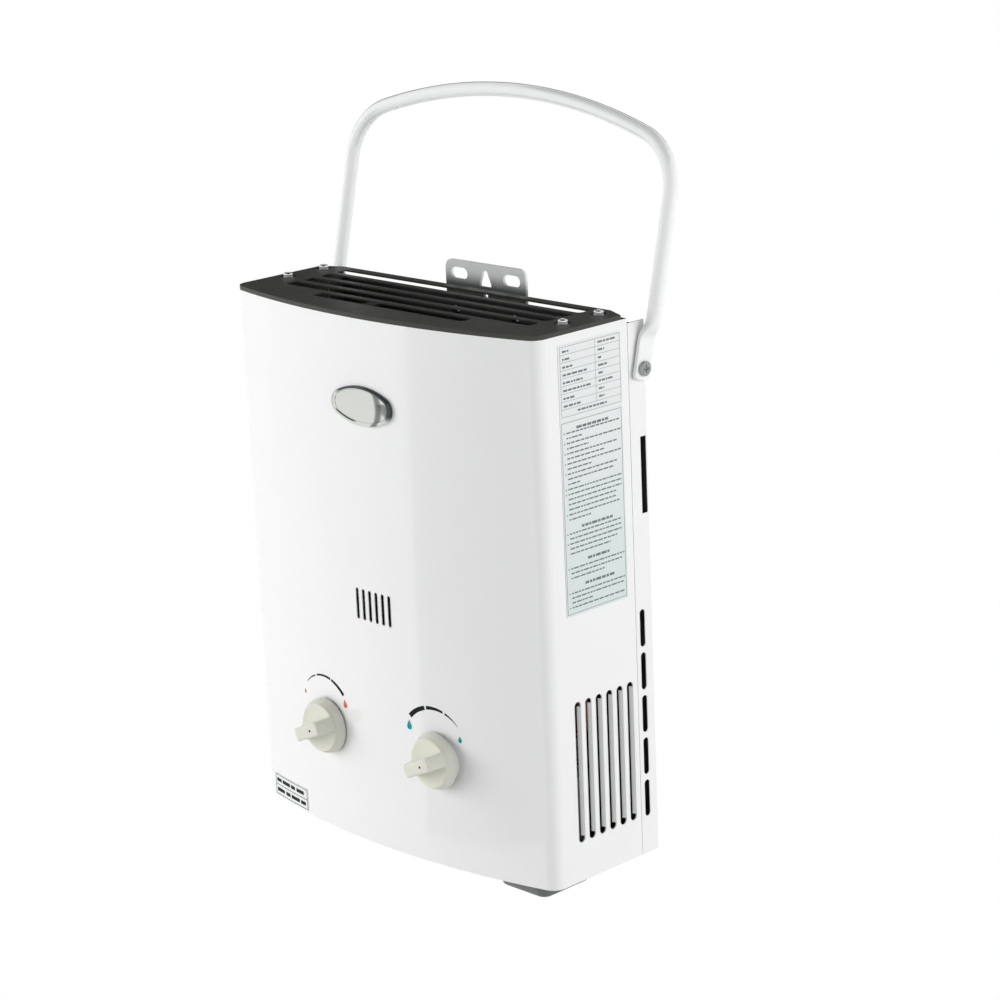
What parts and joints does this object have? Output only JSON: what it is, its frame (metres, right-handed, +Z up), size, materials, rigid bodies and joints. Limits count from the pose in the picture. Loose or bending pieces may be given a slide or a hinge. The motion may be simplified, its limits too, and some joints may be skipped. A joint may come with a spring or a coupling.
{
  "type": "portable propane water heater",
  "caption": "Wall-hung portable gas water heater with bowed sheet case, slotted top, two knobs, battery box and swinging carry handle.",
  "frame": {"origin": "middle of the two hanging slots, on the wall plane that the rear of the hanging bracket lies on", "axes": "+X to the right seen from the front, +Y into the wall, +Z up"},
  "size_m": [0.3132, 0.1763, 0.5501],
  "materials": {
    "white_paint": "gloss",
    "zinc_sheet": "satin",
    "steel": "satin",
    "grille_paint": "satin",
    "chrome": "polished",
    "label_film": "semi-gloss",
    "ivory_plastic": "satin",
    "handle_white": "gloss",
    "brass": "satin",
    "alloy": "cast",
    "copper": "satin",
    "black_plastic": "satin",
    "grey_plastic": "satin",
    "rubber": "matte",
    "ceramic": "glazed",
    "mica": "clear",
    "lead_red": "satin",
    "lead_black": "satin",
    "cell_wrap": "gloss"
  },
  "bodies": {
    "case": {"rear_chassis": "white_paint", "front_cover": "white_paint", "bottom_pan": "zinc_sheet", "top_grille": "grille_paint", "grille_screws": "steel", "grille_washers": "steel", "cover_screws": "steel", "wall_bracket": "zinc_sheet", "bracket_rivets": "steel", "badge": "chrome", "side_labels": "label_film", "service_label": "label_film", "handle_screws": "steel", "handle_washers": "steel", "handle_nuts": "steel", "gas_valve_body": "alloy", "solenoid_valve": "black_plastic", "gas_inlet": "brass", "gas_pipe": "copper", "gas_manifold": "alloy", "injectors": "brass", "water_valve_body": "brass", "diaphragm": "rubber", "diaphragm_cover": "brass", "micro_switch": "black_plastic", "water_inlet": "brass", "water_outlet": "brass", "drain_plug": "brass", "mounting_brackets": "zinc_sheet", "burner_bars": "steel", "burner_frame": "zinc_sheet", "igniter_electrode": "ceramic", "flame_sensor": "ceramic", "combustion_chamber": "copper", "sight_glass": "mica", "exchanger_fins": "copper", "exchanger_tube": "copper", "coil_pipe": "copper", "cold_pipe": "copper", "hot_pipe": "copper", "flue_hood": "zinc_sheet", "overheat_thermostat": "black_plastic", "ignition_box": "black_plastic", "igniter_leads": "lead_red", "control_leads": "lead_black", "battery_lead": "lead_red", "battery_box": "grey_plastic", "lid_hinge_pin": "steel", "battery_cells": "cell_wrap", "battery_contacts": "steel"},
    "carry_handle": {"handle": "handle_white"},
    "gas_control": {"gas_knob": "ivory_plastic", "gas_spindle": "brass"},
    "water_control": {"water_knob": "ivory_plastic", "water_spindle": "brass"},
    "linkage": {"linkage_rod": "steel"},
    "switch_button": {"switch_plunger": "lead_red"},
    "battery_door": {"battery_lid": "grey_plastic"}
  },
  "joints": [
    {"name": "handle_swing", "type": "hinge", "parent": "case", "child": "carry_handle", "pos_m": [0, -0.0072, -0.042], "axis": [1, 0, 0], "range_deg": [0, 145]},
    {"name": "gas_knob_turn", "type": "hinge", "parent": "case", "child": "gas_control", "pos_m": [-0.055, -0.12, -0.301], "axis": [0, -1, 0], "range_deg": [0, 122]},
    {"name": "water_knob_turn", "type": "hinge", "parent": "case", "child": "water_control", "pos_m": [0.055, -0.12, -0.301], "axis": [0, -1, 0], "range_deg": [0, 122]},
    {"name": "linkage_slide", "type": "slide", "parent": "case", "child": "linkage", "axis": [-1, 0, 0], "range_m": [0, 0.003], "stiffness_N_per_m": 200},
    {"name": "switch_press", "type": "slide", "parent": "case", "child": "switch_button", "axis": [-1, 0, 0], "range_m": [0, 0.003]},
    {"name": "battery_lid_swing", "type": "hinge", "parent": "case", "child": "battery_door", "pos_m": [0.107, -0.0416, -0.3788], "axis": [1, 0, 0], "range_deg": [0, 95]}
  ],
  "couplings": [
    {"joint": "switch_press", "follows": "linkage_slide", "ratio": 1}
  ]
}
